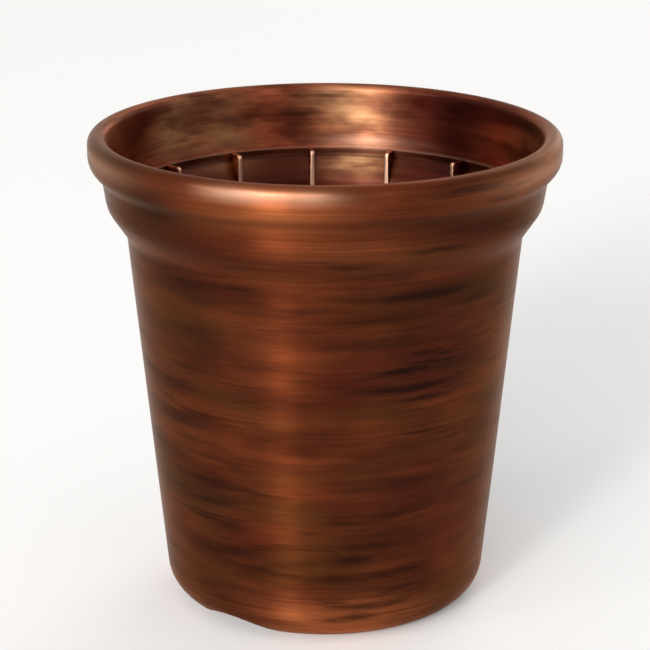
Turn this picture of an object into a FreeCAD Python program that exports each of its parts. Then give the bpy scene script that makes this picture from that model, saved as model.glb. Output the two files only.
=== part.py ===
import FreeCAD
import Part
import math
import os
from FreeCAD import Vector

# Stacking plant pot, injection moulded in one piece. Sizes are in millimetres and angles in degrees.
# The origin is the centre of the ring that the pot stands on, and +Z points up through the mouth.

# Overall size
RIM_DIAMETER = 130.0
POT_HEIGHT = 133.5
WALL = 1.4

# Lip, a solid bead round the mouth: a band, and a slope under it that runs in to the neck
LIP_WIDTH = 5.1
LIP_BAND = 8.0
LIP_OVERHANG = 3.7
LIP_SLOPE = 3.7
LIP_TOP_ROUND = 2.6
LIP_MOUTH_ROUND = 2.0
LIP_BAND_ROUND = 6.0
LIP_NECK_ROUND = 3.0

# Collar, the wide wall under the lip
COLLAR_HEIGHT = 8.2
COLLAR_FLARE = 1.3

# Shoulder, where the wide collar steps in to the body
SHOULDER_STEP = 5.3
SHOULDER_DROP = 7.8
SHOULDER_ROUND = 7.0
SHOULDER_HOLLOW = 5.0

# Stacking land and fins inside the collar: the next pot's shoulder sits on them, so a stack never jams
LAND_WIDTH = 0.8
LAND_RISE = 1.4
FIN_COUNT = 15
FIN_THICKNESS = 1.4
FIN_PROUD = 0.5
FIN_ROUND = 1.0

# Body and foot: a drafted wall, a large round, and a narrow ring to stand on
BODY_DRAFT = 5.7
FOOT_ROUND = 10.0
STAND_WIDTH = 2.4

# Floor, lifted inside the ring so that water can run out under it
FLOOR_LIFT = 5.0
KICK_DRAFT = 10.0
DRAIN_COUNT = 8
DRAIN_DIAMETER = 5.5
DRAIN_EDGE = 4.0

# Drainage channel across the foot: a low arch on either side of the ring. Its angle is counted from +X
CHANNEL_WIDTH = 26.0
CHANNEL_CEILING = 0.5
CHANNEL_ANGLE = 52.0

# Margin by which a cutting form passes the face that it cuts
OVERCUT = 1.0

UP = Vector(0, 0, 1)
CENTRE = Vector(0, 0, 0)
FULL_TURN = 360
RIGHT_ANGLE = 90

# Heights and radii that follow from the sizes above
RIM_RADIUS = RIM_DIAMETER / 2
BAND_HEIGHT = POT_HEIGHT - LIP_BAND
NECK_HEIGHT = BAND_HEIGHT - LIP_SLOPE
NECK_RADIUS = RIM_RADIUS - LIP_OVERHANG
COLLAR_RADIUS = NECK_RADIUS - COLLAR_FLARE
COLLAR_BASE = NECK_HEIGHT - COLLAR_HEIGHT
SHOULDER_RADIUS = COLLAR_RADIUS - SHOULDER_STEP
SHOULDER_HEIGHT = COLLAR_BASE - SHOULDER_DROP
FOOT_RADIUS = SHOULDER_RADIUS - SHOULDER_HEIGHT * math.tan(math.radians(BODY_DRAFT))
STAND_RADIUS = FOOT_RADIUS - FOOT_ROUND * math.tan(math.radians(RIGHT_ANGLE - BODY_DRAFT) / 2)
HEEL_RADIUS = STAND_RADIUS - STAND_WIDTH
FLOOR_RADIUS = HEEL_RADIUS - FLOOR_LIFT * math.tan(math.radians(KICK_DRAFT))
LAND_HEIGHT = COLLAR_BASE + LAND_RISE
CHANNEL_HEIGHT = FLOOR_LIFT - CHANNEL_CEILING


def rounded_wire(corners):
    """Closed wire in the XZ plane through corners given as (radius, height, round)."""
    points = [Vector(x, 0, z) for x, z, _ in corners]
    edges = []
    ends = []
    for i, (_, _, radius) in enumerate(corners):
        corner = points[i]
        back = (points[i - 1] - corner).normalize()
        ahead = (points[(i + 1) % len(points)] - corner).normalize()
        if radius == 0:
            ends.append((corner, corner))
            continue
        half = back.getAngle(ahead) / 2
        reach = radius / math.tan(half)
        middle = corner + (back + ahead).normalize() * (radius / math.sin(half) - radius)
        ends.append((corner + back * reach, corner + ahead * reach))
        edges.append(Part.Arc(ends[-1][0], middle, ends[-1][1]).toShape())
    for i, (start, _) in enumerate(ends):
        edges.append(Part.makeLine(ends[i - 1][1], start))
    return Part.Wire(Part.__sortEdges__(edges))


def turned(corners):
    """Solid of revolution about the pot's axis."""
    return Part.Face(rounded_wire(corners)).revolve(CENTRE, UP, FULL_TURN)


def inset(corners, wall):
    """The same chain of corners one wall further in, with rounds that keep the wall even."""
    points = [Vector(x, 0, z) for x, z, _ in corners]
    result = []
    for i in range(1, len(corners) - 1):
        arriving = (points[i] - points[i - 1]).normalize()
        leaving = (points[i + 1] - points[i]).normalize()
        inward_before = Vector(-arriving.z, 0, arriving.x)
        inward_after = Vector(-leaving.z, 0, leaving.x)
        shift = (inward_before + inward_after) * (wall / (1 + inward_before.dot(inward_after)))
        moved = points[i] + shift
        change = -wall if inward_before.dot(leaving) > 0 else wall
        radius = corners[i][2]
        result.append((moved.x, moved.z, max(radius + change, 0) if radius else 0))
    return result


def wall_corners():
    """Section of the outside wall, from the middle of the floor round the foot and up to the neck."""
    return [
        (0, FLOOR_LIFT, 0),
        (FLOOR_RADIUS, FLOOR_LIFT, 0),
        (HEEL_RADIUS, 0, 0),
        (FOOT_RADIUS, 0, FOOT_ROUND),
        (SHOULDER_RADIUS, SHOULDER_HEIGHT, SHOULDER_HOLLOW),
        (COLLAR_RADIUS, COLLAR_BASE, SHOULDER_ROUND),
        (NECK_RADIUS, NECK_HEIGHT, LIP_NECK_ROUND),
    ]


def outside_corners():
    """Section of the whole outside form: wall, lip, and a flat top that the core opens."""
    return wall_corners() + [
        (RIM_RADIUS, BAND_HEIGHT, LIP_BAND_ROUND),
        (RIM_RADIUS, POT_HEIGHT, LIP_TOP_ROUND),
        (0, POT_HEIGHT, 0),
    ]


def core_corners():
    """Section of the inside form: the wall moved in, then the land, the collar and the mouth."""
    floor, heel, foot, shoulder, collar = inset(wall_corners(), WALL)
    cone = (collar[1] - shoulder[1]) / (collar[0] - shoulder[0])
    mouth_radius = RIM_RADIUS - LIP_WIDTH
    crest_radius = mouth_radius + LIP_MOUTH_ROUND
    return [
        (0, FLOOR_LIFT + WALL, 0),
        floor,
        heel,
        foot,
        shoulder,
        (collar[0] - LAND_WIDTH, collar[1] - LAND_WIDTH * cone, 0),
        (collar[0] - LAND_WIDTH, LAND_HEIGHT, 0),
        (collar[0], LAND_HEIGHT, 0),
        (mouth_radius, POT_HEIGHT, LIP_MOUTH_ROUND),
        (crest_radius, POT_HEIGHT, 0),
        (crest_radius, POT_HEIGHT + OVERCUT, 0),
        (0, POT_HEIGHT + OVERCUT, 0),
    ]


def pattern(shape, count, start):
    """Copies of a shape at even angles about the pot's axis, the first at the start angle."""
    copies = [shape.copy() for _ in range(count)]
    for i, copy in enumerate(copies):
        copy.rotate(CENTRE, UP, start + i * FULL_TURN / count)
    return copies


def channel_form(cover):
    """Long cylinder whose top is the arch of the drainage channel, enlarged by its cover."""
    arch_radius = (CHANNEL_WIDTH**2 / 4 + CHANNEL_HEIGHT**2) / (2 * CHANNEL_HEIGHT)
    along = Vector(math.cos(math.radians(CHANNEL_ANGLE)), math.sin(math.radians(CHANNEL_ANGLE)), 0)
    start = UP * (CHANNEL_HEIGHT - arch_radius) - along * RIM_RADIUS
    return Part.makeCylinder(arch_radius + cover, RIM_DIAMETER, start, along)


def fin_forms():
    """The stacking fins: upright plates on radii, with the top inner corner rounded.

    One fin stands square to the channel, and the others follow at even angles.
    """
    shoulder = inset(wall_corners(), WALL)[-2]
    inner_radius = shoulder[0] - FIN_PROUD
    foot_height = shoulder[1] - FIN_PROUD / math.tan(math.radians(BODY_DRAFT)) - OVERCUT
    outline = [
        (inner_radius, foot_height, 0),
        (COLLAR_RADIUS, foot_height, 0),
        (COLLAR_RADIUS, LAND_HEIGHT, 0),
        (inner_radius, LAND_HEIGHT, FIN_ROUND),
    ]
    plate = Part.Face(rounded_wire(outline)).extrude(Vector(0, FIN_THICKNESS, 0))
    plate.translate(Vector(0, -FIN_THICKNESS / 2, 0))
    return pattern(plate, FIN_COUNT, CHANNEL_ANGLE + RIGHT_ANGLE)


def drain_holes():
    """Ring of round holes through the lifted floor, just inside the kick-up wall."""
    circle = FLOOR_RADIUS - DRAIN_EDGE - DRAIN_DIAMETER / 2
    hole = Part.makeCylinder(DRAIN_DIAMETER / 2, FLOOR_LIFT + WALL + OVERCUT, Vector(circle, 0, 0), UP)
    return pattern(hole, DRAIN_COUNT, CHANNEL_ANGLE)


def core():
    """Everything inside the pot: the turned hollow less the cover of the channel and less the fins."""
    return turned(core_corners()).cut([channel_form(WALL)] + fin_forms())


def plant_pot():
    """The moulding: outside form with the channel cut, less the core and the drain holes."""
    outside = turned(outside_corners()).cut(channel_form(0))
    return outside.cut([core()] + drain_holes())


os.makedirs("parts", exist_ok=True)
plant_pot().exportStep("parts/plant_pot.step")
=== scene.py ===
# %% [markdown]
# # A stacking plant pot with an antique copper finish
# The pot is one moulding: a rolled lip, a wide collar, a stepped shoulder, a tapered body and a
# rounded foot. This lesson builds its visible skin as one closed surface and gives it a brushed and
# darkened copper coating. The first cell loads the measured solid, which stays hidden under the
# skin and says how large the pot is.

# %% Load the measured pot
import math

import bpy
import numpy as np
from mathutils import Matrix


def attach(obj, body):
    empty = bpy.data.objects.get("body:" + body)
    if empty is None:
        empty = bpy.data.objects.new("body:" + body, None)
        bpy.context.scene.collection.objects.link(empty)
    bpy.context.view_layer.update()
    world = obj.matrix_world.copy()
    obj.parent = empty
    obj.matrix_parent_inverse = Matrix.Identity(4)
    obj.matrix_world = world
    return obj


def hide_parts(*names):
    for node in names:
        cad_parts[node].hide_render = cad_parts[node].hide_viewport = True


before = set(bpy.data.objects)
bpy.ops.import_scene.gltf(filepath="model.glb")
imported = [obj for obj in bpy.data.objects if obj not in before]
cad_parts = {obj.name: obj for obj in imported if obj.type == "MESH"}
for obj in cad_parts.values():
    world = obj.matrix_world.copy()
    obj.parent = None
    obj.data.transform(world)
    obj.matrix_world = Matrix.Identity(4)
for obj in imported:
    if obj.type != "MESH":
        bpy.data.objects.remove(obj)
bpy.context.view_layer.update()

MM = 0.001

# %% [markdown]
# ## The wall as a chain of corners
# A moulded pot is a section turned about an upright axis. The section is easiest to give as a
# draughtsman does: corners with a radius, a height and the round that is laid in each. Lines
# between the rounds are tangent to them, so light runs over the wall without a break. The inside is
# the same chain moved in by the wall's thickness, which is also how a mould core is drawn, and it
# keeps the plastic equally thick in every bend.

# %% Sizes of the pot in millimetres
RIM_RADIUS = 65.0
POT_HEIGHT = 133.5
WALL = 1.4
NECK = (61.3, 121.8)
COLLAR = (60.0, 113.6)
SHOULDER = (54.7, 105.8)
FOOT_RADIUS = 44.14
HEEL_RADIUS = 32.69
FLOOR_RADIUS = 31.81
FLOOR_LIFT = 5.0
LAND_HEIGHT = 115.0
LAND_WIDTH = 0.8
MOUTH_RADIUS = 59.9

outside_wall = [
    (0, FLOOR_LIFT, 0),
    (FLOOR_RADIUS, FLOOR_LIFT, 0.4),
    (HEEL_RADIUS, 0, 0.5),
    (FOOT_RADIUS, 0, 10.0),
    (*SHOULDER, 5.0),
    (*COLLAR, 7.0),
    (*NECK, 3.0),
]
print("rim:", 2 * RIM_RADIUS, "mm across, height:", POT_HEIGHT, "mm")

# %% Move a chain of corners in by the wall
# no round shrinks below this
LEAST_ROUND = 0.3


def inset(corners, wall):
    """Corner + (n1 + n2) wall / (1 + n1.n2), where n1 and n2 are its lines' inward unit normals.

    A round that bulges outwards shrinks by the wall and a hollow one grows by it, so both keep
    one centre.
    """
    points = np.array([corner[:2] for corner in corners])
    rounds = np.array([corner[2] for corner in corners])[1:-1]
    along = np.diff(points, axis=0)
    along /= np.linalg.norm(along, axis=1)[:, None]
    inward = np.stack([-along[:, 1], along[:, 0]], axis=1)
    before, after = inward[:-1], inward[1:]
    lean = (before * after).sum(axis=1)
    moved = points[1:-1] + (before + after) * (wall / (1 + lean))[:, None]
    bulges = (before * along[1:]).sum(axis=1) > 0
    new_rounds = np.maximum(rounds + np.where(bulges, -wall, wall), LEAST_ROUND)
    return [(r, z, bend) for (r, z), bend in zip(moved, new_rounds)]


floor_top, heel_top, foot_top, shoulder_in, collar_in = inset(outside_wall, WALL)
print("inside of the shoulder and the collar:", np.round([shoulder_in, collar_in], 2).tolist())


# %% Lay the rounds and space the rows
def rounded_chain(corners, row_step, arc_step=math.radians(11)):
    """Points along lines and tangent arcs through the corners.

    An arc of radius R fits a corner of half angle h with its ends R / tan(h) from the corner. Its
    points turn evenly: centre + (sin((1 - t) a) v0 + sin(t a) v1) / sin(a), where a is the arc's
    angle and v0 and v1 go from the centre to its ends.
    """
    points = np.array([corner[:2] for corner in corners], dtype=float)
    path = [points[:1]]
    for here, before, after, corner in zip(points[1:-1], points[:-2], points[2:], corners[1:-1]):
        back = (before - here) / np.linalg.norm(before - here)
        ahead = (after - here) / np.linalg.norm(after - here)
        half = math.acos(np.clip(back @ ahead, -1, 1)) / 2
        if corner[2] == 0:
            path.append(here[None])
            continue
        reach = corner[2] / math.tan(half)
        middle = here + (back + ahead) / np.linalg.norm(back + ahead) * corner[2] / math.sin(half)
        start, end = here + back * reach - middle, here + ahead * reach - middle
        turn = math.pi - 2 * half
        share = np.linspace(0, 1, max(int(turn / arc_step), 2) + 1)[:, None]
        swung = np.sin((1 - share) * turn) * start + np.sin(share * turn) * end
        path.append(middle + swung / math.sin(turn))
    path.append(points[-1:])
    path = np.concatenate(path)
    gaps = np.linalg.norm(np.diff(path, axis=0), axis=1)
    counts = np.maximum(np.ceil(gaps / row_step).astype(int), 1)
    owner = np.repeat(np.arange(len(gaps)), counts)
    step = np.arange(counts.sum()) - np.repeat(np.cumsum(counts) - counts, counts)
    spaced = path[owner] + (path[owner + 1] - path[owner]) * (step / counts[owner])[:, None]
    return np.concatenate([spaced, path[-1:]])


# %% [markdown]
# ## The stretch that has fins
# Fifteen short upright fins stand inside the collar. The next pot of a stack rests on them, so a
# stack never jams. A fin is the same wall with another section, so the skin needs no extra piece:
# this stretch of the wall is written twice, once plain and once as a fin, with the same number of
# points. A weight that runs from 0 to 1 across the fin's flank then moves the surface from one to
# the other. Both meet the rest of the wall in the same two points.

# %% Section of the wall, plain and at a fin
FIN_PROUD = 0.5
FIN_ROUND = 1.0
LAND_ROUND = 0.25
FIN_STEP = 1.5
collar_slope = (MOUTH_RADIUS - collar_in[0]) / (POT_HEIGHT - LAND_HEIGHT)
body_slope = (shoulder_in[0] - foot_top[0]) / (shoulder_in[1] - foot_top[1])
fin_radius = shoulder_in[0] - FIN_PROUD
fin_foot = (fin_radius, shoulder_in[1] - FIN_PROUD / body_slope)
land_top = (collar_in[0], LAND_HEIGHT)
cone_slope = (collar_in[1] - shoulder_in[1]) / (collar_in[0] - shoulder_in[0])
land_radius = collar_in[0] - LAND_WIDTH
land_foot = (land_radius, collar_in[1] - LAND_WIDTH * cone_slope)

plain_stretch = rounded_chain(
    [
        (*land_top, 0),
        (land_radius, LAND_HEIGHT, LAND_ROUND),
        (*land_foot, 0),
        shoulder_in,
        (*fin_foot, 0),
    ],
    FIN_STEP,
)
fin_stretch = rounded_chain(
    [(*land_top, 0), (fin_radius, LAND_HEIGHT, FIN_ROUND), (*fin_foot, 0)], FIN_STEP
)


def matched(first, second):
    """Both chains read at the same shares of their length, so that each keeps its own corners."""
    def share(chain):
        length = np.concatenate([[0], np.cumsum(np.linalg.norm(np.diff(chain, axis=0), axis=1))])
        return length / length[-1]
    first_share, second_share = share(first), share(second)
    both = np.unique(np.round(np.concatenate([first_share, second_share]), 4))

    def read(chain, shares):
        return np.stack([np.interp(both, shares, chain[:, axis]) for axis in (0, 1)], axis=1)
    return read(first, first_share), read(second, second_share)


plain_stretch, fin_stretch = matched(plain_stretch, fin_stretch)
print("rows in the finned stretch:", len(plain_stretch))

# %% [markdown]
# ## Rows up the outside, over the lip and down the inside
# The chain starts at the middle of the underside and ends at the middle of the floor inside. The
# floor needs rows at set radii, because round drain holes are let into it later. The rounded edges
# of the foot are given close rows, because a drainage channel is pressed through them.

# %% Put the whole section together
floor_radii = [5.0, 10.0, 15.0, 20.2, 21.2, 22.3, 23.5, 24.7, 25.9, 27.1, 28.3, 29.4, 30.3]
floor_radii = np.array(floor_radii)


def flat_floor(height):
    """Rows of a flat floor at the set radii."""
    return np.stack([floor_radii, np.full(len(floor_radii), height)], axis=1)


# spacing of the rows in mm, and of the points on an arc
FOOT_STEP, FOOT_ARC = 0.9, math.radians(5)
OUTSIDE_STEP = 2.0
INSIDE_STEP, INSIDE_ARC = 3.6, math.radians(10)
# where the foot's close rows end, and the corner under the lip
FOOT_TOP, LIP_LOW = 20.0, 125.5
# a close row this far above the land keeps its corner crisp
OVER_LAND = 0.5
low_body = (FOOT_RADIUS + FOOT_TOP * (SHOULDER[0] - FOOT_RADIUS) / SHOULDER[1], FOOT_TOP, 0)
kick_and_foot = rounded_chain(
    [(floor_radii[-1], FLOOR_LIFT, 0), *outside_wall[1:4], low_body], FOOT_STEP, FOOT_ARC
)
body_to_lip = rounded_chain(
    [
        low_body,
        *outside_wall[4:],
        (RIM_RADIUS, LIP_LOW, 6.0),
        (RIM_RADIUS, POT_HEIGHT, 2.6),
        (MOUTH_RADIUS, POT_HEIGHT, 2.0),
        (land_top[0] + OVER_LAND * collar_slope, LAND_HEIGHT + OVER_LAND, 0),
        (*land_top, 0),
    ],
    OUTSIDE_STEP,
)
inside_down = rounded_chain(
    [(*fin_foot, 0), foot_top, heel_top, floor_top, (floor_radii[-1], FLOOR_LIFT + WALL, 0)],
    INSIDE_STEP,
    INSIDE_ARC,
)
before_fins = np.concatenate([flat_floor(FLOOR_LIFT), kick_and_foot[1:], body_to_lip[1:-1]])
after_fins = np.concatenate([inside_down[1:], flat_floor(FLOOR_LIFT + WALL)[::-1][1:]])
plain_section = np.concatenate([before_fins, plain_stretch, after_fins])
fin_section = np.concatenate([before_fins, fin_stretch, after_fins])
crest_row = int(np.argmax(plain_section[:, 1]))
print("rows:", len(plain_section), "crest at row", crest_row)

# %% [markdown]
# ## Columns round the pot
# A column of points stands at each angle. Between two fins they are spaced evenly, about two
# degrees apart, which keeps the rim round to a hundredth of a millimetre. Across a fin they crowd
# together to draw its flanks and the small rounds of its edge.

# %% Angles of the columns and the weight of the fin
FIN_COUNT = 15
FIN_PITCH = 2 * math.pi / FIN_COUNT
FIRST_FIN = math.radians(166)
CHANNEL_ANGLE = math.radians(52)
COLUMNS_BETWEEN = 10
# half widths of a fin at its root and of its flat face, and the round of its edge, in mm
FIN_ROOT, FIN_FACE, FIN_EDGE = 0.75, 0.40, 0.30
# the share of the fin's depth that this round takes
EDGE_SHARE = 0.06
QUARTER_TURN = np.radians([0, 30, 60, 90])
half_offsets = np.concatenate([[FIN_ROOT], FIN_FACE + FIN_EDGE * np.cos(QUARTER_TURN)])
half_weights = np.concatenate([[0.0], 1 - EDGE_SHARE + EDGE_SHARE * np.sin(QUARTER_TURN)])
fin_offsets = np.concatenate([-half_offsets, [0.0], half_offsets[::-1]]) / land_radius
fin_weights = np.concatenate([half_weights, [1.0], half_weights[::-1]])
between = np.linspace(fin_offsets[-1], FIN_PITCH + fin_offsets[0], COLUMNS_BETWEEN + 2)[1:-1]
sector_angles = np.concatenate([fin_offsets, between])
sector_weights = np.concatenate([fin_weights, np.zeros(len(between))])
angles = (FIRST_FIN + FIN_PITCH * np.arange(FIN_COUNT)[:, None] + sector_angles).ravel()
weights = np.tile(sector_weights, FIN_COUNT)
print("columns:", len(angles))

# %% [markdown]
# ## The skin as a function of row and column
# Radius and height come from the section. Three small things change them. The drainage channel
# lifts the foot where it crosses it. The finned stretch follows the weight. And the wall is not
# perfectly round: a thin moulding cools a few hundredths of a millimetre out of true, and that is
# what makes its highlights waver instead of looking ruled.

# %% Channel and unevenness
CHANNEL_WIDTH = 26.0
CHANNEL_HEIGHT = 4.5
CHANNEL_ROUND = 0.5
UNEVENNESS = 0.07
# the wall is true up to the first height, and the waves grow over the span after it, in mm
TRUE_UP_TO, WAVES_OVER = 12, 20
arch_radius = (CHANNEL_WIDTH**2 / 4 + CHANNEL_HEIGHT**2) / (2 * CHANNEL_HEIGHT)
print("radius of the channel's arch:", round(arch_radius, 2), "mm")


def arch(distance, cover):
    """Roof of the channel: crown - R + sqrt((R + cover)^2 - distance^2), R the arch's radius."""
    inside_root = np.maximum((arch_radius + cover) ** 2 - distance**2, 0)
    return CHANNEL_HEIGHT - arch_radius + np.sqrt(inside_root)


def soft_max(first, second, blend):
    """The larger height + max(blend - |difference|, 0)^2 / (4 blend), to round the meeting."""
    nearness = np.maximum(blend - np.abs(first - second), 0)
    return np.maximum(first, second) + nearness**2 / (4 * blend)


def unevenness(angle, height):
    """Radial error in mm: three slow waves round the pot, times 3 f^2 - 2 f^3.

    The waves drift with height, and f runs from 0 at the foot to 1 on the wall.
    """
    waves = (
        0.5 * np.sin(2 * angle + 1.0)
        + 0.3 * np.sin(5 * angle + height / 17)
        + 0.2 * np.sin(9 * angle - height / 11)
    )
    fade = np.clip((height - TRUE_UP_TO) / WAVES_OVER, 0, 1)
    return UNEVENNESS * waves * fade * fade * (3 - 2 * fade)


# %% Work out every point of the skin
fin_share = weights[None, :, None]
section = plain_section[:, None] * (1 - fin_share) + fin_section[:, None] * fin_share
radius, height = section[..., 0], section[..., 1]
outer = np.arange(len(radius))[:, None] <= crest_row
from_channel = np.abs(radius * np.sin(angles - CHANNEL_ANGLE))
roof = np.where(outer, arch(from_channel, 0), arch(from_channel, WALL))
within_reach = height < FLOOR_LIFT + WALL + 0.1
height = np.where(within_reach, soft_max(height, roof, CHANNEL_ROUND), height)
radius = radius + unevenness(angles, height)
grid = np.stack([radius * np.cos(angles), radius * np.sin(angles), height], axis=-1)
row_gaps = np.linalg.norm(np.diff(plain_section, axis=0), axis=1)
row_length = np.concatenate([[0], np.cumsum(row_gaps)]) + floor_radii[0]
print("grid:", grid.shape, "greatest radius:", round(float(radius.max()), 3))

# %% [markdown]
# ## Round drain holes in a grid
# Eight round holes let water out. A hole could be cut with a Boolean, but that leaves long thin
# faces that spoil the shading round it. Here a window of whole cells is left out of the floor,
# above and below, and filled with rings of faces that change from the window's outline to a circle.
# The rings run through the hole from one side to the other.

# %% Windows for the drain holes
DRAIN_COUNT = 8
DRAIN_RADIUS = 2.75
DRAIN_CIRCLE = 25.06
DRAIN_EDGE = 0.35
WINDOW_HALF = 5.0
columns, rows = len(angles), len(radius)
# rows of the floor that bound the windows, counted from the pole
inner_row, outer_row = 3, len(floor_radii) - 1
drain_angles = CHANNEL_ANGLE + 2 * math.pi / DRAIN_COUNT * np.arange(DRAIN_COUNT)
drain_angles = angles[0] + (drain_angles - angles[0]) % (2 * math.pi)
half_window = WINDOW_HALF / DRAIN_CIRCLE
first_columns = np.searchsorted(angles, drain_angles - half_window)
last_columns = np.searchsorted(angles, drain_angles + half_window)
print("window columns:", [(int(a), int(b)) for a, b in zip(first_columns, last_columns)])


def window_outline(first, last, low, high):
    """Grid rows and columns met on the way round a window, anticlockwise when seen from above."""
    step = np.sign(high - low)
    down, across = np.arange(low, high, step), np.arange(first, last)
    at_high, at_low = np.full(len(across), high), np.full(len(across), low)
    row = np.concatenate([down, at_high, down[::-1] + step, at_low])
    at_first, at_last = np.full(len(down), first), np.full(len(down), last)
    column = np.concatenate([at_first, across, at_last, across[::-1] + 1])
    return row, column


def drain_rings(outline, angle):
    """Rings of points from the lower outline through the hole to the upper one.

    A point keeps its direction from the hole's centre. Halfway rings are means of outline and
    circle. The quarter rounds at both edges, of size e, follow radius + e (1 - sin a) and
    height +- e (1 - cos a).
    """
    centre = DRAIN_CIRCLE * np.array([math.cos(angle), math.sin(angle)])
    away = outline - centre
    away /= np.linalg.norm(away, axis=1)[:, None]
    grown = DRAIN_RADIUS + DRAIN_EDGE * (1 - np.sin(QUARTER_TURN))
    lower = FLOOR_LIFT + DRAIN_EDGE * (1 - np.cos(QUARTER_TURN))
    upper = FLOOR_LIFT + WALL - DRAIN_EDGE * (1 - np.cos(QUARTER_TURN))
    circles = centre + away * np.concatenate([grown, grown[::-1]])[:, None, None]
    levels = np.concatenate([lower, upper[::-1]])
    middle = (outline + circles[0]) / 2
    flat = np.concatenate([middle[None], circles, middle[None]])
    levels = np.concatenate([[FLOOR_LIFT], levels, [FLOOR_LIFT + WALL]])
    levels = np.broadcast_to(levels[:, None, None], (*flat.shape[:2], 1))
    return np.concatenate([flat, levels], axis=-1)


# %% [markdown]
# ## Join the points into faces
# A face is a list of four point numbers, so all faces of the grid come from one table of numbers
# read at a cell and at its neighbours. The last column joins the first, and each pole is closed
# with a fan. The angle of every corner of every face is kept as well. A flat map needs it later,
# and a point's own angle would jump where the skin closes.

# %% Faces of the grid
point_number = 1 + np.arange(rows * columns).reshape(rows, columns)
wrapped = np.concatenate([point_number, point_number[:, :1]], axis=1)
kept = np.ones((rows - 1, columns), dtype=bool)
for first, last in zip(first_columns, last_columns):
    kept[inner_row:outer_row, first:last] = False
    kept[rows - 1 - outer_row : rows - 1 - inner_row, first:last] = False
cell_corners = [wrapped[:-1, :-1], wrapped[:-1, 1:], wrapped[1:, 1:], wrapped[1:, :-1]]
cells = np.stack(cell_corners, axis=-1)[kept]
wrapped_angles = np.append(angles, angles[0] + 2 * math.pi)
near, far = wrapped_angles[:-1], wrapped_angles[1:]
cell_angles = np.stack([near, far, far, near], axis=-1)
cell_angles = np.broadcast_to(cell_angles, (rows - 1, columns, 4))[kept]

top_pole = 1 + rows * columns
below, above = wrapped[0], wrapped[-1]
fan_below = np.stack([np.zeros(columns, dtype=int), below[1:], below[:-1]], axis=-1)
fan_above = np.stack([np.full(columns, top_pole), above[:-1], above[1:]], axis=-1)
fan_angles = np.stack([(near + far) / 2, far, near], axis=-1)
fan_angles = np.concatenate([fan_angles, fan_angles[:, [0, 2, 1]]])
print("cells:", len(cells), "fan faces:", len(fan_angles))

# %% Faces of the drain holes
total_length = row_length[-1] + floor_radii[0]
poles = np.array([[[0, 0, FLOOR_LIFT]], [[0, 0, FLOOR_LIFT + WALL]]])
points = [poles[0], grid.reshape(-1, 3), poles[1]]
lengths = [[0.0], np.repeat(row_length, columns), [total_length]]
ring_faces = []
next_point = top_pole + 1
for angle, first, last in zip(drain_angles, first_columns, last_columns):
    row, column = window_outline(first, last, inner_row, outer_row)
    rings = drain_rings(grid[row, column, :2], angle)
    numbers = next_point + np.arange(rings.shape[0] * rings.shape[1]).reshape(rings.shape[:2])
    under, over = point_number[row, column], point_number[rows - 1 - row, column]
    numbers = np.concatenate([under[None], numbers, over[None]])
    next_point += rings.shape[0] * rings.shape[1]
    ahead = np.roll(numbers, -1, axis=1)
    around = np.stack([numbers[:-1], numbers[1:], ahead[1:], ahead[:-1]], axis=-1)
    ring_faces.append(around.reshape(-1, 4))
    points.append(rings.reshape(-1, 3))
    reach = np.linalg.norm(rings[..., :2], axis=-1)
    passed = np.arange(len(rings))[:, None] >= len(rings) // 2
    lengths.append(np.where(passed, total_length - reach, reach).ravel())
points, lengths = np.concatenate(points), np.concatenate(lengths)
ring_faces = np.concatenate(ring_faces)
print("points:", len(points), "faces at holes:", len(ring_faces))

# %% Make the mesh
point_angle = np.arctan2(points[:, 1], points[:, 0])
point_angle = angles[0] + (point_angle - angles[0]) % (2 * math.pi)
quads = np.concatenate([cells, ring_faces])
triangles = np.concatenate([fan_below, fan_above])
corner_points = np.concatenate([quads.ravel(), triangles.ravel()])
ring_angles = point_angle[ring_faces]
corner_angles = np.concatenate([cell_angles.ravel(), ring_angles.ravel(), fan_angles.ravel()])
quad_starts = 4 * np.arange(len(quads))
triangle_starts = quads.size + 3 * np.arange(len(triangles))
face_starts = np.concatenate([quad_starts, triangle_starts])

mesh = bpy.data.meshes.new("plant_pot_moulding")
mesh.vertices.add(len(points))
mesh.vertices.foreach_set("co", (points * MM).ravel())
mesh.loops.add(len(corner_points))
mesh.loops.foreach_set("vertex_index", corner_points)
mesh.polygons.add(len(face_starts))
mesh.polygons.foreach_set("loop_start", face_starts)
mesh.update(calc_edges=True)
mesh.polygons.foreach_set("use_smooth", np.ones(len(face_starts), dtype=bool))
# the rounds turn by less than this from face to face, so only true corners stay sharp
SHARP_FROM = math.radians(38)
mesh.set_sharp_from_angle(angle=SHARP_FROM)
print("edges:", len(mesh.edges), "faces:", len(mesh.polygons))

# %% [markdown]
# ## Facts that the finish needs
# Brush marks run round the pot, so the finish has to know where "round" is on the lip, the wall and
# the floor alike. Each point therefore keeps its direction from the axis and its distance along the
# section, counted from the middle of the underside. A painted mask could say the same, but a fact
# that is worked out stays true when a size changes.


# %% Direction and distance of every point
def keep_fact(name, values):
    """Stores one or three numbers for every point, under a name that the finish can read."""
    kind, field = ("FLOAT_VECTOR", "vector") if values.ndim == 2 else ("FLOAT", "value")
    mesh.attributes.new(name, kind, "POINT").data.foreach_set(field, values.ravel())
    print(f"fact: {name} from {values.min():.3f} to {values.max():.3f}")


# near the middle of the floor the direction shrinks to nothing, so marks close into rings there
RINGS_WITHIN = 20.0
# the finish changes from outside to inside over this way past the lip's crest
OVER_CREST = 3.0
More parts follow.
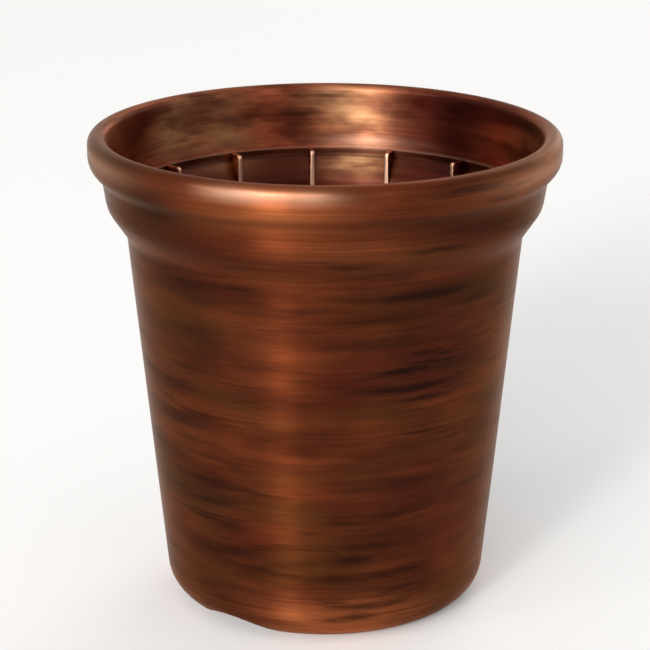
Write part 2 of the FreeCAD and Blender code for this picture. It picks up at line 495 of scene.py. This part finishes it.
# metres of flat map to a radian
MAP_RADIUS = 0.05
shrink = np.minimum(np.hypot(points[:, 0], points[:, 1]) / RINGS_WITHIN, 1)
turned = [shrink * np.cos(point_angle), shrink * np.sin(point_angle), lengths * MM]
keep_fact("turned", np.stack(turned, axis=-1))
crest_length = row_length[crest_row]
keep_fact("inside", np.clip((lengths - crest_length) / OVER_CREST, 0, 1))
round_map = mesh.uv_layers.new(name="round")
unrolled = np.stack([corner_angles * MAP_RADIUS, lengths[corner_points] * MM], axis=-1)
round_map.data.foreach_set("uv", unrolled.ravel())

# %% [markdown]
# ## Painted highlights, painted shade and stain
# The lip's outer edge, the narrow inner faces of the fins and the top of the stacking land are
# lighter in places: these are painted highlights. The dark line in the corner under the land is
# painted shade. Over the rest of the wall the stain lies in pools, some of which are painted shade,
# and each pool is a soft oval.


# %% Painted highlights on the fins and land, painted shade under the land
def on_skin(mask):
    """A value per row and column in the mesh's order of points, 0 at poles and drain holes."""
    return np.concatenate([[0], mask.ravel(), np.zeros(len(points) - 1 - rows * columns)])


FIN_HIGHLIGHT, LAND_HIGHLIGHT, GROOVE_SHADE = 0.9, 0.15, 0.8
# how near in mm a row is to the fins' faces, to the land's top and to the wall under it
NEAR_FACE, NEAR_LAND, NEAR_WALL = 0.7, 0.2, 0.3
row_radius, row_height = plain_section[:, 0], plain_section[:, 1]
inward = np.arange(rows) > crest_row
fin_rows = slice(len(before_fins), len(before_fins) + len(fin_stretch))
painted_highlight = np.zeros((rows, columns))
on_face = fin_section[fin_rows, 0] < fin_radius + NEAR_FACE
# of a fin's section only the top tenth gets the painted highlight
painted_highlight[fin_rows] = FIN_HIGHLIGHT * np.clip((weights - 0.9) / 0.1, 0, 1) * on_face[:, None]
on_land = inward & (np.abs(row_height - LAND_HEIGHT) < NEAR_LAND) & (row_radius > land_radius)
# painted highlight on the land's top
painted_highlight[on_land] = LAND_HIGHLIGHT
# painted shade: the corner under the land, between the fins, is darkened
shaded_under_land = inward & (np.abs(row_radius - land_radius) < NEAR_WALL)
shaded_under_land &= (row_height < LAND_HEIGHT) & (row_height > land_foot[1] - 1.0)
between_fins = 1 - np.clip(weights * 1.1, 0, 1)
keep_fact("painted_groove_shade", on_skin(GROOVE_SHADE * shaded_under_land[:, None] * between_fins))

# %% [markdown]
# ## Ovals of stain, painted shade and painted light
# Rings of stain are ovals that are wide and very low, because the cloth that left them moved round
# the pot. Other ovals paint light and shade into the colour: a band round the foot stands for the
# floor's reflection, patches under the lip lighten the neck where it is in shade, highlights lie
# along the lip and inside, and some pools are darker where the collar and the inside are in shade.
# Each oval is a bell curve in angle and height: it has no edge, so a table of them reads as
# handwork and not as a print.

# %% Stain and painted shade outside and inside
# each oval: degrees to the right of the front, height in mm, half width in degrees, half height
# in mm, strength
# the pools on the collar at 48, -50 and 66 degrees and under the lip at -47 are painted shade; the
# others are stain
outer_stain_and_shade = [
    *[(48, 117, 18, 5, 0.95), (25, 88, 13, 15, 0.7), (35, 84, 15, 6, 0.5), (30, 62, 14, 9, 0.15)],
    *[(34, 42, 13, 8, 0.2), (4, 35, 10, 4, 0.3), (22, 27, 9, 4, 0.4), (-32, 29, 12, 6, 0.5)],
    *[(-47, 125, 9, 4, 0.7), (-12, 112, 10, 2.5, 0.2), (-12, 60, 9, 3, 0.3), (-42, 8, 14, 7, 0.7)],
    *[(-50, 116, 20, 6, 0.9), (66, 116, 10, 6, 0.4), (150, 70, 25, 12, 0.5)],
    *[(-110, 95, 20, 8, 0.5), (100, 40, 22, 7, 0.6), (-160, 30, 18, 6, 0.5)],
]
# rings of stain; the ring at -13 degrees on the lip is painted shade that dims the lamp's
# highlight, and the wide ones at 34 and -48 degrees under the lip are painted shade
stain_rings_and_shade = [
    *[(-22, 103, 16, 1.3, 1.2), (30, 101, 20, 1.5, 1.5), (16, 95.5, 20, 1.2, 1.3)],
    *[(48, 97.5, 14, 1.4, 1.2), (-8, 58, 8, 1.4, 0.8), (38, 80, 16, 2.0, 1.1)],
    *[(12, 30, 11, 1.6, 1.4), (10, 25.5, 10, 1.3, 1.2), (-40, 88, 12, 1.4, 0.8)],
    *[(-33, 33, 8, 1.4, 1.0), (26, 47, 12, 1.4, 0.8), (-66, 70, 12, 1.5, 0.8)],
    *[(62, 58, 10, 1.5, 0.8), (95, 101, 20, 1.6, 1.0), (120, 64, 16, 1.7, 0.9)],
    *[(-100, 99, 18, 1.6, 1.0), (-140, 52, 16, 1.8, 0.9), (178, 95, 20, 1.6, 1.0)],
    *[(-13, 131.2, 4, 1.6, 0.4), (4, 20, 13, 1.3, 0.8), (57, 133.4, 20, 2.4, 0.95)],
    *[(-66, 133.4, 18, 2.4, 0.9), (34, 120, 18, 4, 1.1), (-48, 122, 11, 4, 0.9)],
    *[(-30, 26, 10, 1.3, 1.2), (-22, 21.5, 9, 1.2, 0.9)],
]
# painted shade inside the mouth, darker away from the lamps' reflections
inner_painted_shade = [
    *[(142, 121, 22, 12, 1.0), (-172, 124, 5, 5, 0.5), (-114, 126, 9, 8, 1.0)],
    *[(60, 118, 20, 10, 0.6), (-40, 122, 18, 8, 0.6), (10, 90, 25, 14, 0.5)],
    *[(-140, 70, 25, 14, 0.5), (138, 130.5, 28, 3.5, 0.8), (-60, 131, 40, 3, 0.6)],
    *[(60, 131, 40, 3, 0.6), (108, 131, 20, 3, 0.7), (-112, 131, 18, 3, 0.7)],
]
print("pools and rings:", len(outer_stain_and_shade) + len(inner_painted_shade), len(stain_rings_and_shade))

# %% Painted light, painted highlights, and the golden tone inside
# painted light: the band round the foot stands for the floor's reflection, and the patches under
# the lip and on the wall lighten places that are in shade
MOST_LIGHT = 0.9
light_patches = [
    *[(6, 4, 28, 9, 0.85), (100, 5, 30, 8, 0.7), (-110, 5, 34, 8, 0.7), (178, 5, 26, 8, 0.7)],
    *[(-50, 6, 12, 5, 0.3), (-11, 127, 17, 6, 0.6), (52, 129, 12, 6, 0.4), (125, 129, 30, 6, 0.4)],
    *[(-130, 129, 30, 6, 0.4), (178, 128, 20, 6, 0.4), (8, 115, 22, 5, 0.18)],
    *[(-22, 88, 9, 18, 0.06), (8, 44, 15, 20, 0.05)],
]
# painted highlights along the lip's outer edge
lip_highlights = [
    *[(-21, 130.8, 7, 1.5, 0.5), (-3, 130.8, 7, 1.5, 0.32), (-68, 129.5, 14, 2.5, 0.4)],
    *[(62, 129, 16, 2.5, 0.3), (110, 130, 18, 2, 0.2), (-120, 130, 18, 2, 0.15)],
    *[(168, 131, 14, 2, 0.4), (-163, 130, 14, 2, 0.3)],
]
# painted highlights inside, just above the land
land_highlights_inside = [(168, 116.8, 13, 1.5, 0.35), (-140, 117, 16, 1.2, 0.12)]
# golden tone inside, with painted highlights where the lamps glint on the far wall
gold_and_highlight_patches = [
    *[(170, 126, 14, 9, 1.0), (171, 111, 8, 3.5, 0.8), (-150, 120, 8, 8, 0.7)],
    *[(-133, 124, 11, 10, 1.0), (-180, 130, 8, 3, 0.5), (-142, 130, 14, 3, 0.6)],
    *[(100, 122, 12, 7, 0.6), (30, 124, 16, 8, 0.7), (-75, 118, 14, 8, 0.7)],
    *[(-10, 60, 20, 12, 0.5)],
]


def ovals(table):
    """Sum over a table's ovals of strength exp(-(a / w)^2 - (h / v)^2).

    Here a and h are a point's angle and height off the oval's middle, and w and v the oval's half
    width and half height.
    """
    side, level, half_width, half_height, strength = np.array(table).T
    angle_off = (np.degrees(point_angle)[:, None] + 90 - side + 180) % 360 - 180
    height_off = points[:, 2:] - level
    bells = np.exp(-((angle_off / half_width) ** 2) - (height_off / half_height) ** 2)
    return (strength * bells).sum(axis=1)


is_inside = lengths > crest_length
keep_fact("pools_of_stain_and_shade", np.where(is_inside, ovals(inner_painted_shade), ovals(outer_stain_and_shade)))
keep_fact("ringed", np.where(is_inside, 0.0, ovals(stain_rings_and_shade)))
# painted light, outside only
keep_fact("painted_light", np.where(is_inside, 0.0, np.minimum(ovals(light_patches), MOST_LIGHT)))
# painted highlights on the fins, the land and the lip
oval_highlights = np.where(is_inside, ovals(land_highlights_inside), ovals(lip_highlights))
keep_fact("painted_highlight", on_skin(painted_highlight) + oval_highlights)
# golden tone and painted highlights, inside only
keep_fact("gold_and_highlights", np.where(is_inside, ovals(gold_and_highlight_patches), 0.0))

# %% [markdown]
# ## In place of the measured solid
# The skin is checked for faces that would not close, and then stands in for the solid. The solid
# itself stays in the file as it was measured. Blender's validate() mends what it can and says
# whether it had to, so False is wanted here.

# %% Put the skin in place of the measured solid
print("changed by validate:", mesh.validate(), "triangles:", 2 * len(quads) + len(triangles))
pot = bpy.data.objects.new("plant_pot_moulding", mesh)
bpy.context.scene.collection.objects.link(pot)
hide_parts("plant_pot")
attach(pot, "root")

# %% [markdown]
# ## The finish: antique copper on moulded plastic
# The pot is a common plastic, ABS or polypropylene, with a thin coat of copper-coloured metal. The
# coat was stained brown and then brushed round and round, which took the stain off the high places
# and left it in smears and hairlines. So the eye meets a metal: it has no colour of its own away
# from its reflections, fine turned scratches pull each highlight out up and down the wall, and
# where it is seen edge on it goes pale and grey. Such a finish could be photographed and laid on as
# an image. Patterns that are worked out need no seam and can be read at any size, so they are used
# here.


# %% Helpers for colours and nodes
def linear(code):
    """Linear from sRGB hex: c / 12.92 up to 0.04045, above that ((c + 0.055) / 1.055)^2.4."""
    coded = np.array([int(code[i : i + 2], 16) for i in (1, 3, 5)]) / 255
    return (*np.where(coded <= 0.04045, coded / 12.92, ((coded + 0.055) / 1.055) ** 2.4), 1.0)


def add_node(tree, kind, settings=None, inputs=None):
    """Adds a node with its settings, and fills its inputs by name or place.

    An input takes a number, a colour, another node's output, or a node, which stands for its
    first output in use.
    """
    node = tree.nodes.new(kind)
    for name, value in (settings or {}).items():
        setattr(node, name, value)
    sockets = [socket for socket in node.inputs if socket.enabled]
    for place, value in (inputs or {}).items():
        if isinstance(place, int):
            socket = sockets[place]
        else:
            socket = next(candidate for candidate in sockets if candidate.name == place)
        if isinstance(value, bpy.types.Node):
            value = next(output for output in value.outputs if output.enabled)
        if isinstance(value, bpy.types.NodeSocket):
            tree.links.new(value, socket)
        else:
            socket.default_value = value
    return node


MATH, MIX, RAMP = "ShaderNodeMath", "ShaderNodeMix", "ShaderNodeMapRange"
ATTRIBUTE = "ShaderNodeAttribute"
ADD, TIMES, LARGER = {"operation": "ADD"}, {"operation": "MULTIPLY"}, {"operation": "MAXIMUM"}
COLOUR, SMOOTH = {"data_type": "RGBA"}, {"interpolation_type": "SMOOTHSTEP"}
print("middle grey in linear light:", round(float(linear("#808080")[0]), 3))

# %% Tones of the coat
COPPER_WORN = linear("#6B3117")
# dull tone, for the random polish and for the pools of stain and painted shade
COPPER_DULL = linear("#431B0C")
COPPER_RED = linear("#581F12")
COPPER_OLIVE = linear("#4C3011")
# tone of the painted light at the foot and under the lip
COPPER_BRIGHT = linear("#C56F3F")
# tone of the painted highlights
COPPER_HIGHLIGHT = linear("#E6B698")
INSIDE_PLAIN = linear("#B65A3C")
# dull inside tone, for the mottling and for the painted shade of the inside pools
INSIDE_DULL = linear("#4C1B14")
# painted shade: the inside wall from about 100 mm down, under the land
INSIDE_SHADED = linear("#4E1E10")
# tone of the golden patches and painted highlights inside
INSIDE_GOLDEN = linear("#C89468")
# stain, and the painted shade of the pools and of the corner under the land
STAIN_AND_SHADE = linear("#290F05")
EDGE_TINT = linear("#E2CDC0")
print("worn copper in linear light:", [round(float(c), 3) for c in COPPER_WORN])

# %% [markdown]
# ## Patterns that run round
# Each pattern is a noise read at (k cos a, k sin a, distance / height), so a full turn comes back
# to the same place. Its first two numbers are real sizes: how long a feature is round the wall and
# how tall it is across, in mm. Real brush hairlines are a few hundredths of a millimetre apart.
# That is too fine to show at a quarter of a millimetre a pixel, so hairlines and scratches are
# drawn 0.6 and 0.28 mm tall.

# %% The table of patterns
WALL_RADIUS = 50.0
finish = bpy.data.materials.new("antique_copper_on_moulded_plastic")
finish.use_nodes = True
coat = finish.node_tree
coat.nodes.clear()
# name: length and height in mm, start, detail, roughness, then a ramp: from, to, least, most
patterns = {
    "smears": (24, 2.6, 3.1, 3, 0.55, 0.45, 0.74, 0, 0.9),
    "thin_smears": (60, 0.9, 7.7, 2, 0.5, 0.46, 0.74, 0, 0.4),
    "clouds": (45, 20, 1.3, 2, 0.5, 0.35, 0.65, 0.1, 0.95),
    "hairlines": (110, 0.6, 5.2, 1, 0.5, 0.30, 0.70, 0, 0.2),
    "scratches": (50, 0.28, 6.6, 1, 0.5, 0.35, 0.65, 0, 0.12),
    "polish": (36, 7, 9.4, 3, 0.5, 0.30, 0.70, 0, 1),
    "reddening": (34, 14, 12.5, 1, 0.5, 0.48, 0.70, 0, 0.45),
    "browning": (34, 14, 15.8, 1, 0.5, 0.48, 0.70, 0, 0.4),
    "mottling": (22, 9, 18.1, 3, 0.6, 0.38, 0.62, 0, 0.75),
    "breakup": (30, 5, 4.4, 2, 0.5, 0.30, 0.60, 0.5, 1),
}
turned_place = add_node(coat, ATTRIBUTE, {"attribute_name": "turned"}).outputs["Vector"]
for name, (long, tall, start, detail, rough, low, high, least, most) in list(patterns.items()):
    round_scale = WALL_RADIUS / long
    size = {
        "Scale": (round_scale, round_scale, 1 / (tall * MM)),
        "Location": (start, 2 * start, 3 * start),
    }
    stretch = add_node(coat, "ShaderNodeMapping", None, {"Vector": turned_place, **size})
    grain = {"Scale": 1.0, "Detail": detail, "Roughness": rough}
    noise = add_node(coat, "ShaderNodeTexNoise", None, {0: stretch, **grain})
    ends = {"From Min": low, "From Max": high, "To Min": least, "To Max": most}
    patterns[name] = add_node(coat, RAMP, SMOOTH, {"Value": noise, **ends})
print("patterns:", ", ".join(patterns))

# %% Facts kept by the mesh, and the height above the floor
inside, pools_of_stain_and_shade, ringed, gold_and_highlights, painted_light, highlight_share, painted_groove_shade = [
    add_node(coat, ATTRIBUTE, {"attribute_name": name}).outputs["Fac"]
    for name in ("inside", "pools_of_stain_and_shade", "ringed", "gold_and_highlights", "painted_light", "painted_highlight", "painted_groove_shade")
]
place = add_node(coat, "ShaderNodeTexCoord").outputs["Object"]
level = add_node(coat, "ShaderNodeSeparateXYZ", None, {0: place}).outputs["Z"]
# both ramps run between heights in metres
collar = {"From Min": (LAND_HEIGHT - 2.5) * MM, "From Max": (LAND_HEIGHT - 1.5) * MM}
above_land = add_node(coat, RAMP, SMOOTH, {"Value": level, **collar})
lower_half = {"From Min": 0.060, "From Max": 0.100, "To Min": 0.7, "To Max": 0}
low_wall = add_node(coat, RAMP, SMOOTH, {"Value": level, **lower_half})
print("inside is brighter above", round(collar["From Max"], 4), "and below", lower_half["From Min"])

# %% [markdown]
# ## Stain and painted shade
# Smears are the larger of two patterns. They gather in clouds and in the pools, which also carry
# painted shade, and there is less of them inside, where the brush went last.

# %% How much stain and painted shade lies at each place
thickest = add_node(coat, MATH, LARGER, {0: patterns["smears"], 1: patterns["thin_smears"]})
gathered = add_node(coat, MATH, ADD, {0: patterns["clouds"], 1: pools_of_stain_and_shade})
clustered = add_node(coat, MATH, TIMES, {0: thickest, 1: gathered})
brushed_share = add_node(coat, RAMP, SMOOTH, {"Value": inside, "To Min": 0.9, "To Max": 0.5})
stain_and_shade = add_node(coat, MATH, TIMES, {0: clustered, 1: brushed_share})
broken_rings = add_node(coat, MATH, TIMES, {0: ringed, 1: patterns["breakup"]})
stain_shade_and_rings = add_node(coat, MATH, LARGER, {0: stain_and_shade, 1: broken_rings})
# the painted shade under the land joins the stain here
all_stain_and_shade = add_node(coat, MATH, LARGER, {0: stain_shade_and_rings, 1: painted_groove_shade})
# painted shade of the inside pools
inner_shade_share = add_node(coat, MATH, TIMES, {0: inside, 1: pools_of_stain_and_shade})
print("nodes up to the stain:", len(coat.nodes))

# %% [markdown]
# ## Colour
# The colours are laid one over another: the copper with its duller, redder and browner parts, the
# painted light at the foot and under the lip, then the stain and painted shade, the brush marks,
# and last the painted highlights.

# %% Outside, inside, stain, painted light and shade, and brush marks
# painted light at the foot and under the lip
painted_light_share = add_node(coat, MATH, TIMES, {0: painted_light, 1: patterns["breakup"]})
polished = {"Factor": patterns["polish"], "A": COPPER_DULL, "B": COPPER_WORN}
outer = add_node(coat, MIX, COLOUR, polished)
for share, tone in (
    # pools of stain and painted shade
    (pools_of_stain_and_shade, COPPER_DULL),
    (patterns["reddening"], COPPER_RED),
    (patterns["browning"], COPPER_OLIVE),
    (painted_light_share, COPPER_BRIGHT),
):
    outer = add_node(coat, MIX, COLOUR, {"Factor": share, "A": outer, "B": tone})
# between 60 mm and the land the inside is painted darker, as shade under the land
brighter = add_node(coat, MATH, LARGER, {0: above_land, 1: low_wall})
inner = add_node(coat, MIX, COLOUR, {"Factor": brighter, "A": INSIDE_SHADED, "B": INSIDE_PLAIN})
for share, tone in (
    # golden tone and painted highlights
    (gold_and_highlights, INSIDE_GOLDEN),
    (patterns["mottling"], INSIDE_DULL),
    # painted shade of the inside pools
    (inner_shade_share, INSIDE_DULL),
):
    inner = add_node(coat, MIX, COLOUR, {"Factor": share, "A": inner, "B": tone})
colour = add_node(coat, MIX, COLOUR, {"Factor": inside, "A": outer, "B": inner})
for share, tone in (
    # stain, with the painted shade of the pools and under the land
    (all_stain_and_shade, STAIN_AND_SHADE),
    (patterns["hairlines"], STAIN_AND_SHADE),
    (patterns["scratches"], STAIN_AND_SHADE),
    # last the painted highlights
    (highlight_share, COPPER_HIGHLIGHT),
):
    colour = add_node(coat, MIX, COLOUR, {"Factor": share, "A": colour, "B": tone})
print("nodes up to the colour:", len(coat.nodes))

# %% Dullness and relief
OUTSIDE_DULL, INSIDE_DULLER = 0.38, 0.42
DULLED_BY_STAIN, RELIEF_OF_STAIN = 0.1, -0.2
dullness = {"To Min": OUTSIDE_DULL, "To Max": INSIDE_DULLER}
spread = add_node(coat, RAMP, SMOOTH, {"Value": inside, **dullness})
stain_dulls = add_node(coat, MATH, TIMES, {0: stain_and_shade, 1: DULLED_BY_STAIN})
dull = add_node(coat, MATH, ADD, {0: spread, 1: stain_dulls})
stain_fills = add_node(coat, MATH, TIMES, {0: stain_and_shade, 1: RELIEF_OF_STAIN})
relief = add_node(coat, MATH, ADD, {0: patterns["hairlines"], 1: stain_fills})
depth = {"Strength": 0.25, "Distance": 0.08 * MM}
scratched = add_node(coat, "ShaderNodeBump", None, {"Height": relief, **depth})
print("greatest depth of the relief:", depth["Distance"], "m")

# %% The metal itself
# turned scratches run along the map's first direction, and the quarter turn spreads highlights
# up and down
by_map = {"direction_type": "UV_MAP", "uv_map": "round"}
along_turning = add_node(coat, "ShaderNodeTangent", by_map)
metal = add_node(
    coat,
    "ShaderNodeBsdfPrincipled",
    None,
    {
        "Base Color": colour,
        "Metallic": 1.0,
        "Roughness": dull,
        "Specular Tint": EDGE_TINT,
        "Anisotropic": 0.85,
        "Anisotropic Rotation": 0.25,
        "Coat Weight": 0.08,
        "Coat Roughness": 0.2,
        "Normal": scratched,
        "Tangent": along_turning,
    },
)
add_node(coat, "ShaderNodeOutputMaterial", None, {"Surface": metal})
pot.data.materials.append(finish)
print("nodes in the finish:", len(coat.nodes))

# %% [markdown]
# ## A plain floor and a white room
# The pot stands on a pale floor of matt paper. The room round it is white where the camera or a
# reflection looks at it, and gives a lower, even light to everything else, so that the lamps can
# still draw highlights and a shadow. A Light Path node tells the two apart. Under the pot the paper
# is left dark, as it is in a real studio, so the drain holes look like holes from above.

# %% Floor
FLOOR_HALF = 6.0
# a hair below the pot's ring, so that the two never share a plane
FLOOR_GAP = 0.0002
# the paper is dark within the first radius and lifted by its own faint glow beyond the second
DARK_RADIUS, LIT_RADIUS, PAPER_LIFT = 0.030, 0.036, 0.1
floor_mesh = bpy.data.meshes.new("studio_floor")
corners = FLOOR_HALF * np.array([(-1, -1, 0), (1, -1, 0), (1, 1, 0), (-1, 1, 0)])
floor_mesh.from_pydata(corners.tolist(), [], [(0, 1, 2, 3)])
floor = bpy.data.objects.new("studio_floor", floor_mesh)
bpy.context.scene.collection.objects.link(floor)
floor.location.z = -FLOOR_GAP
paper = bpy.data.materials.new("matt_white_paper")
paper.use_nodes = True
sheet = paper.node_tree
sheet.nodes.clear()
on_paper = add_node(sheet, "ShaderNodeTexCoord").outputs["Object"]
ray = add_node(sheet, "ShaderNodeLightPath")
seen, mirrored = ray.outputs["Is Camera Ray"], ray.outputs["Is Glossy Ray"]
looked_at = add_node(sheet, MATH, LARGER, {0: seen, 1: mirrored})
looked_at = add_node(sheet, MATH, LARGER, {0: looked_at, 1: ray.outputs["Is Transmission Ray"]})
from_axis = add_node(sheet, "ShaderNodeVectorMath", {"operation": "LENGTH"}, {0: on_paper})
edge_of_pot = {"From Min": DARK_RADIUS, "From Max": LIT_RADIUS, "To Max": PAPER_LIFT}
beside_pot = add_node(sheet, RAMP, SMOOTH, {"Value": from_axis, **edge_of_pot})
lift = add_node(sheet, MATH, TIMES, {0: looked_at, 1: beside_pot})
paper_surface = add_node(
    sheet,
    "ShaderNodeBsdfPrincipled",
    None,
    {
        "Base Color": linear("#F6F5F3"),
        "Roughness": 0.9,
        "Emission Color": linear("#FFFFFF"),
        "Emission Strength": lift,
    },
)
add_node(sheet, "ShaderNodeOutputMaterial", None, {"Surface": paper_surface})
floor_mesh.materials.append(paper)
print("floor:", 2 * FLOOR_HALF, "m wide, dark within", DARK_RADIUS, "m")

# %% Room
ROOM_LIGHT = 0.48
world = bpy.data.worlds.new("white_room")
bpy.context.scene.world = world
world.use_nodes = True
room = world.node_tree
room.nodes.clear()
ray = add_node(room, "ShaderNodeLightPath")
seen, mirrored = ray.outputs["Is Camera Ray"], ray.outputs["Is Glossy Ray"]
looked_at = add_node(room, MATH, LARGER, {0: seen, 1: mirrored})
looked_at = add_node(room, MATH, LARGER, {0: looked_at, 1: ray.outputs["Is Transmission Ray"]})
strength = add_node(room, RAMP, None, {"Value": looked_at, "To Min": ROOM_LIGHT, "To Max": 1.0})
white = {"Color": linear("#FFFFFF"), "Strength": strength}
walls = add_node(room, "ShaderNodeBackground", None, white)
add_node(room, "ShaderNodeOutputWorld", None, {"Surface": walls})
print("room: white to the eye, lights the pot at", ROOM_LIGHT)

# %% [markdown]
# ## Soft lamps
# Each lamp is a lit panel, placed by the highlight that it makes. On a round wall a lamp that
# stands a degrees to the side is mirrored half as far round. A narrow low lamp draws the bright
# streak on the body, and two weaker ones draw the fainter streaks beside it. Wide ones above them
# light the lip and the far side of the mouth, and the last two light the back.

# %% Lamps
AIM_HEIGHT = 0.07


def soft_lamp(name, azimuth, elevation, width, height, radiance, distance=3.5):
    """Rectangular lamp that looks at the pot and fills so many degrees of its view.

    A side is 2 distance tan(angle / 2), and the power is pi area radiance, where radiance 1 is
    that of a lit white surface.
    """
    turn, rise = math.radians(azimuth), math.radians(elevation)
    level_part = math.cos(rise)
    away = np.array([math.sin(turn) * level_part, -math.cos(turn) * level_part, math.sin(rise)])
    lamp = bpy.data.lights.new(name, "AREA")
    lamp.shape = "RECTANGLE"
    lamp.size = 2 * distance * math.tan(math.radians(width / 2))
    lamp.size_y = 2 * distance * math.tan(math.radians(height / 2))
    lamp.energy = math.pi * lamp.size * lamp.size_y * radiance
    holder = bpy.data.objects.new(name, lamp)
    bpy.context.scene.collection.objects.link(holder)
    holder.location = away * distance + np.array([0, 0, AIM_HEIGHT])
    holder.rotation_euler = (math.radians(90 - elevation), 0, turn)
    holder.visible_camera = False
    print(f"lamp: {name} {lamp.size:.2f} by {lamp.size_y:.2f} m, {lamp.energy:.0f} W")


# degrees to the right of the front, degrees up, width and height in degrees, radiance
soft_lamp("streak_lamp", -25, 14, 8, 18, 36.0)
soft_lamp("mouth_lamp", -19, 24, 36, 12, 11.0)
soft_lamp("lip_lamp", -51, 24, 30, 10, 5.0)
soft_lamp("right_streak_lamp", 29, 11, 3, 18, 8.0)
soft_lamp("left_streak_lamp", -60, 14, 3, 18, 9.0)
soft_lamp("right_panel", 145, 16, 40, 28, 1.4)
soft_lamp("back_lamp", 160, 36, 30, 20, 2.0)

# %% [markdown]
# ## The camera
# A long lens stands a little above the rim. Its place was found from the outline of the rim, the
# collar and the foot.

# %% Camera
LENS_MM, SENSOR_MM = 136.96, 36.0
CAMERA_PLACE = (0.0, -0.6616, 0.2853)
# 90 degrees would look level
CAMERA_PITCH = math.radians(72.57)
camera = bpy.data.objects.new("camera", bpy.data.cameras.new("camera"))
bpy.context.scene.collection.objects.link(camera)
camera.data.lens = LENS_MM
camera.data.sensor_width = SENSOR_MM
camera.location = CAMERA_PLACE
camera.rotation_euler = (CAMERA_PITCH, 0, 0)
bpy.context.scene.camera = camera
bpy.context.scene.view_settings.view_transform = "Standard"
print("camera:", LENS_MM, "mm lens at", CAMERA_PLACE)
